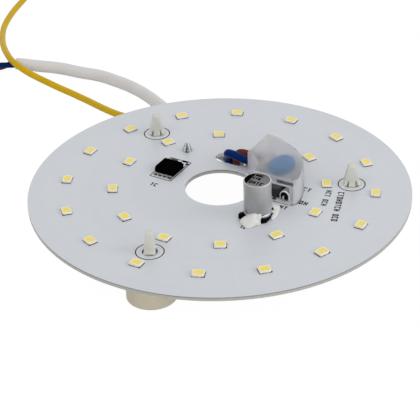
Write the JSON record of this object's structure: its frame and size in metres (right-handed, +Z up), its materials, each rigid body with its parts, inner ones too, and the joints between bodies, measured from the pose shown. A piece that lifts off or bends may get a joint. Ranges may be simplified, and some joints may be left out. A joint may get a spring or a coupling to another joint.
{
  "type": "led module",
  "caption": "Round metal-core LED board for mains voltage, with rings of LEDs, driver parts, a moulded terminal cover, magnetic snap-in feet and leads.",
  "frame": {"origin": "on the plane that the feet stand on, under the centre of the board", "axes": "+Z up out of the LED side of the board, +X towards the first foot"},
  "size_m": [0.1662, 0.2473, 0.0274],
  "materials": {
    "board": "white printed mask on the top face, bare metal edge and back",
    "led_housing": "moulded white",
    "phosphor": "cast yellow resin",
    "tinned_metal": "tinned",
    "can": "drawn, satin",
    "black_moulding": "moulded",
    "sealant": "cured silicone",
    "cover": "frosted, lets light through",
    "varistor_coat": "dipped coating",
    "black_sleeve": "shrunk sleeve",
    "nylon": "moulded, natural colour",
    "magnet": "plated",
    "screw_steel": "plated",
    "blue_pvc": "extruded",
    "brown_pvc": "extruded",
    "white_pvc": "extruded",
    "yellow_pvc": "extruded"
  },
  "bodies": {
    "root": {"circuit_board": "board", "led_outer_01": "led_housing", "led_outer_02": "led_housing", "led_outer_03": "led_housing", "led_outer_04": "led_housing", "led_outer_05": "led_housing", "led_outer_06": "led_housing", "led_outer_07": "led_housing", "led_outer_08": "led_housing", "led_outer_09": "led_housing", "led_outer_10": "led_housing", "led_outer_11": "led_housing", "led_outer_12": "led_housing", "led_outer_13": "led_housing", "led_outer_14": "led_housing", "led_outer_15": "led_housing", "led_outer_16": "led_housing", "led_inner_01": "led_housing", "led_inner_02": "led_housing", "led_inner_03": "led_housing", "led_inner_04": "led_housing", "led_inner_05": "led_housing", "led_inner_06": "led_housing", "led_inner_07": "led_housing", "led_inner_08": "led_housing", "led_inner_09": "led_housing", "led_inner_10": "led_housing", "led_inner_11": "led_housing", "led_inner_12": "led_housing", "led_phosphor": "phosphor", "led_terminals": "tinned_metal", "capacitor_can": "can", "capacitor_base": "black_moulding", "capacitor_terminals": "tinned_metal", "adhesive": "sealant", "driver_body": "black_moulding", "driver_frame": "tinned_metal", "terminal_cover": "cover", "rectifier_body": "black_moulding", "rectifier_leads": "tinned_metal", "varistor": "varistor_coat", "varistor_leads": "tinned_metal", "fuse": "black_sleeve", "fuse_leads": "tinned_metal", "resistor": "black_moulding", "solder_joints": "tinned_metal", "foot_1": "nylon", "foot_2": "nylon", "foot_3": "nylon", "magnet_1": "magnet", "magnet_2": "magnet", "magnet_3": "magnet", "earth_screw": "screw_steel", "ring_terminal": "tinned_metal", "neutral_lead": "blue_pvc", "live_lead": "brown_pvc", "cable_sheath": "white_pvc", "neutral_tail": "blue_pvc", "live_tail": "brown_pvc", "earth_wire": "yellow_pvc"}
  },
  "joints": []
}
